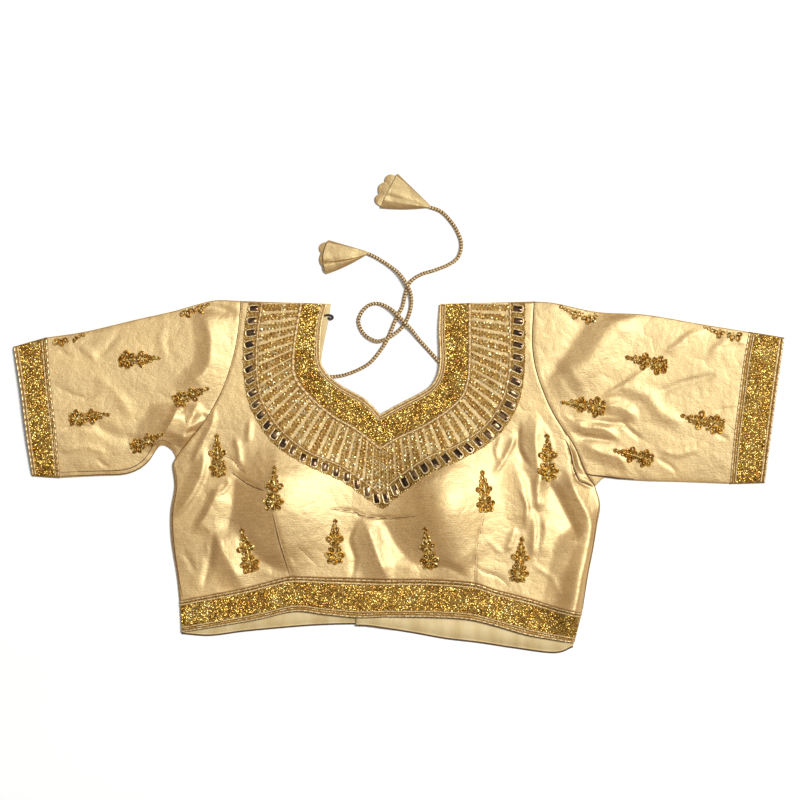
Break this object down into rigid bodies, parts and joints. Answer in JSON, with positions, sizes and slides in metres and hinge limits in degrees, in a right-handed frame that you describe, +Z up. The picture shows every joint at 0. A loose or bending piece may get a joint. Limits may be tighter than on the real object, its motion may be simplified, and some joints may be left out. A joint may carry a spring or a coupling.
{
  "type": "choli blouse",
  "caption": "Short choli blouse laid flat: low embroidered neck with mirror border, padded cups, elbow sleeves, embroidered hem and cuffs, and tie cords with folded cloth ends.",
  "frame": {"origin": "middle of the underside of the blouse where it lies on the surface, measured without its tie cords", "axes": "+X along the sleeves towards the viewer's right, +Y from hem to neck, +Z up from the surface"},
  "size_m": [0.8475, 0.5278, 0.0222],
  "materials": {
    "silk": "gold art silk taffeta with a satin sheen and a fine slub weave",
    "lining": "plain matt cream-gold cotton lining",
    "sequins": "dense antique-gold sequin and bead embroidery",
    "beadwork": "radiating rows of small ringed sequins on gold silk",
    "mirrors": "small dark mirrors framed in coiled gold wire",
    "piping": "gold silk rolled over a cord",
    "cord": "twisted gold-brown silk cord",
    "hook_metal": "blackened wire"
  },
  "bodies": {
    "root": {"front_panel": "silk", "hem_band_front": "sequins", "back_left": "lining", "back_right": "lining", "sleeve_left": "silk", "sleeve_right": "silk", "cuff_left": "sequins", "cuff_right": "sequins", "neck_piping": "piping", "neck_band": "sequins", "yoke_beadwork": "beadwork", "mirror_border": "mirrors", "sprig_front_1": "sequins", "sprig_front_2": "sequins", "sprig_front_3": "sequins", "sprig_front_4": "sequins", "sprig_front_5": "sequins", "sprig_front_6": "sequins", "sprig_front_7": "sequins", "sprig_front_8": "sequins", "sprig_left_1": "sequins", "sprig_left_2": "sequins", "sprig_left_3": "sequins", "sprig_left_4": "sequins", "sprig_right_1": "sequins", "sprig_right_2": "sequins", "sprig_right_3": "sequins", "sprig_right_4": "sequins", "dori_left": "cord", "dori_right": "cord", "latkan_left": "silk", "latkan_left_petals": "silk", "latkan_right": "silk", "latkan_right_petals": "silk", "strap_hook": "hook_metal", "back_hook_1": "hook_metal", "back_hook_2": "hook_metal", "back_hook_3": "hook_metal", "back_hook_4": "hook_metal"}
  },
  "joints": []
}
